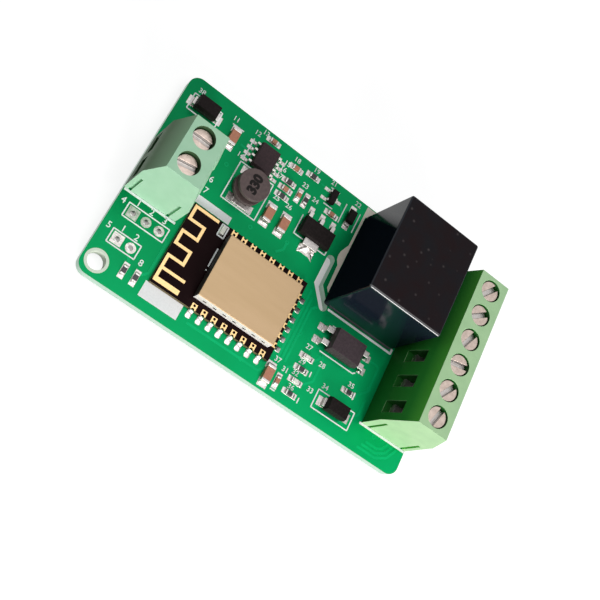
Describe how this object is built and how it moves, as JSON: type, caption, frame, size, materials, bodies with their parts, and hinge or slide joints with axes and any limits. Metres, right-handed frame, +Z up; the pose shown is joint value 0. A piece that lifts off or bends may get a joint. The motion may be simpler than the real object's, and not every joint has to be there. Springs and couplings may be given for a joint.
{
  "type": "smart relay module",
  "caption": "Wireless relay board: green circuit board with a shielded radio module, a sealed power relay, a switching supply, and screw terminal blocks at both ends.",
  "frame": {"origin": "middle of the part's footprint, at the tips of the pin tails under the board", "axes": "+X from the supply terminals to the output terminals, along the board's long side; +Y across the board towards the relay's side; +Z up from the board's component side"},
  "size_m": [0.066, 0.041, 0.019],
  "materials": {
    "green_mask": "satin green solder mask over glass-fibre board",
    "black_mask": "satin black solder mask",
    "gold_plate": "gold-plated copper",
    "solder": "bright solder",
    "nickel_silver": "satin nickel-silver sheet",
    "black_epoxy": "matt moulded epoxy",
    "tin_plate": "tin plate",
    "led_lens": "clear yellowish resin",
    "relay_black": "fine satin black moulding",
    "bobbin_cream": "moulded nylon",
    "copper_wire": "enamelled copper wire",
    "soft_iron": "plated soft iron",
    "spring_bronze": "rolled spring bronze with silver contacts",
    "block_mint": "satin pale green polyamide",
    "block_green": "satin green polyamide",
    "ferrite": "matt grey-brown ferrite",
    "brown_ceramic": "brown fired ceramic",
    "black_glaze": "black glazed resistor element",
    "nickel_screw": "nickel-plated steel",
    "clamp_steel": "zinc-plated steel"
  },
  "bodies": {
    "board": {"circuit_board": "green_mask", "wifi_board": "black_mask", "wifi_pads": "gold_plate", "wifi_antenna": "gold_plate", "wifi_solder": "solder", "solder_joints": "solder", "shield_can": "nickel_silver", "wifi_chip": "black_epoxy", "flash_chip": "black_epoxy", "crystal_can": "tin_plate", "module_led": "led_lens", "relay_case": "relay_black", "relay_base": "relay_black", "relay_bobbin": "bobbin_cream", "relay_coil": "copper_wire", "relay_core": "soft_iron", "relay_yoke": "soft_iron", "relay_upper_contact": "spring_bronze", "relay_lower_contact": "spring_bronze", "relay_coil_pins": "tin_plate", "supply_block": "block_mint", "output_block": "block_green", "supply_contacts": "tin_plate", "output_contacts": "tin_plate", "inductor_core": "ferrite", "inductor_winding": "copper_wire", "inductor_terminals": "solder", "regulator_body": "black_epoxy", "regulator_leads": "tin_plate", "ldo_body": "black_epoxy", "ldo_leads": "tin_plate", "optocoupler_body": "black_epoxy", "optocoupler_leads": "tin_plate", "diode_bodies": "black_epoxy", "diode_leads": "tin_plate", "transistor_body": "black_epoxy", "transistor_leads": "tin_plate", "capacitor_bodies": "brown_ceramic", "resistor_bodies": "black_glaze", "chip_ends": "tin_plate", "status_leds": "led_lens"},
    "supply_screw_1": {"supply_screw_1": "nickel_screw"},
    "supply_clamp_1": {"supply_clamp_1": "clamp_steel"},
    "supply_screw_2": {"supply_screw_2": "nickel_screw"},
    "supply_clamp_2": {"supply_clamp_2": "clamp_steel"},
    "output_screw_1": {"output_screw_1": "nickel_screw"},
    "output_clamp_1": {"output_clamp_1": "clamp_steel"},
    "output_screw_2": {"output_screw_2": "nickel_screw"},
    "output_clamp_2": {"output_clamp_2": "clamp_steel"},
    "output_screw_3": {"output_screw_3": "nickel_screw"},
    "output_clamp_3": {"output_clamp_3": "clamp_steel"},
    "output_screw_4": {"output_screw_4": "nickel_screw"},
    "output_clamp_4": {"output_clamp_4": "clamp_steel"},
    "output_screw_5": {"output_screw_5": "nickel_screw"},
    "output_clamp_5": {"output_clamp_5": "clamp_steel"},
    "output_screw_6": {"output_screw_6": "nickel_screw"},
    "output_clamp_6": {"output_clamp_6": "clamp_steel"},
    "armature": {"relay_armature": "soft_iron", "relay_blade": "spring_bronze"}
  },
  "joints": [
    {"name": "supply_screw_1_turn", "type": "hinge", "parent": "board", "child": "supply_screw_1", "pos_m": [-0.0285, -0.00186, 0.0164], "axis": [0, 0, -1], "range_deg": [0, 1728]},
    {"name": "supply_clamp_1_rise", "type": "slide", "parent": "board", "child": "supply_clamp_1", "axis": [0, 0, 1], "range_m": [0, 0.0024]},
    {"name": "supply_screw_2_turn", "type": "hinge", "parent": "board", "child": "supply_screw_2", "pos_m": [-0.0285, 0.00322, 0.0164], "axis": [0, 0, -1], "range_deg": [0, 1728]},
    {"name": "supply_clamp_2_rise", "type": "slide", "parent": "board", "child": "supply_clamp_2", "axis": [0, 0, 1], "range_m": [0, 0.0024]},
    {"name": "output_screw_1_turn", "type": "hinge", "parent": "board", "child": "output_screw_1", "pos_m": [0.02805, -0.01251, 0.0171], "axis": [0, 0, -1], "range_deg": [0, 1728]},
    {"name": "output_clamp_1_rise", "type": "slide", "parent": "board", "child": "output_clamp_1", "axis": [0, 0, 1], "range_m": [0, 0.0024]},
    {"name": "output_screw_2_turn", "type": "hinge", "parent": "board", "child": "output_screw_2", "pos_m": [0.02805, -0.00743, 0.0171], "axis": [0, 0, -1], "range_deg": [0, 1728]},
    {"name": "output_clamp_2_rise", "type": "slide", "parent": "board", "child": "output_clamp_2", "axis": [0, 0, 1], "range_m": [0, 0.0024]},
    {"name": "output_screw_3_turn", "type": "hinge", "parent": "board", "child": "output_screw_3", "pos_m": [0.02805, -0.00235, 0.0171], "axis": [0, 0, -1], "range_deg": [0, 1728]},
    {"name": "output_clamp_3_rise", "type": "slide", "parent": "board", "child": "output_clamp_3", "axis": [0, 0, 1], "range_m": [0, 0.0024]},
    {"name": "output_screw_4_turn", "type": "hinge", "parent": "board", "child": "output_screw_4", "pos_m": [0.02805, 0.00273, 0.0171], "axis": [0, 0, -1], "range_deg": [0, 1728]},
    {"name": "output_clamp_4_rise", "type": "slide", "parent": "board", "child": "output_clamp_4", "axis": [0, 0, 1], "range_m": [0, 0.0024]},
    {"name": "output_screw_5_turn", "type": "hinge", "parent": "board", "child": "output_screw_5", "pos_m": [0.02805, 0.00781, 0.0171], "axis": [0, 0, -1], "range_deg": [0, 1728]},
    {"name": "output_clamp_5_rise", "type": "slide", "parent": "board", "child": "output_clamp_5", "axis": [0, 0, 1], "range_m": [0, 0.0024]},
    {"name": "output_screw_6_turn", "type": "hinge", "parent": "board", "child": "output_screw_6", "pos_m": [0.02805, 0.01289, 0.0171], "axis": [0, 0, -1], "range_deg": [0, 1728]},
    {"name": "output_clamp_6_rise", "type": "slide", "parent": "board", "child": "output_clamp_6", "axis": [0, 0, 1], "range_m": [0, 0.0024]},
    {"name": "relay_armature_rock", "type": "hinge", "parent": "board", "child": "armature", "pos_m": [0.0143, 0.0159, 0.01445], "axis": [1, 0, 0], "range_deg": [0, 4], "stiffness_Nm_per_rad": 0.01, "springref_deg": -5.73}
  ],
  "couplings": [
    {"joint": "supply_screw_1_turn", "follows": "supply_clamp_1_rise", "rad_per_m": 12566},
    {"joint": "supply_screw_2_turn", "follows": "supply_clamp_2_rise", "rad_per_m": 12566},
    {"joint": "output_screw_1_turn", "follows": "output_clamp_1_rise", "rad_per_m": 12566},
    {"joint": "output_screw_2_turn", "follows": "output_clamp_2_rise", "rad_per_m": 12566},
    {"joint": "output_screw_3_turn", "follows": "output_clamp_3_rise", "rad_per_m": 12566},
    {"joint": "output_screw_4_turn", "follows": "output_clamp_4_rise", "rad_per_m": 12566},
    {"joint": "output_screw_5_turn", "follows": "output_clamp_5_rise", "rad_per_m": 12566},
    {"joint": "output_screw_6_turn", "follows": "output_clamp_6_rise", "rad_per_m": 12566}
  ]
}
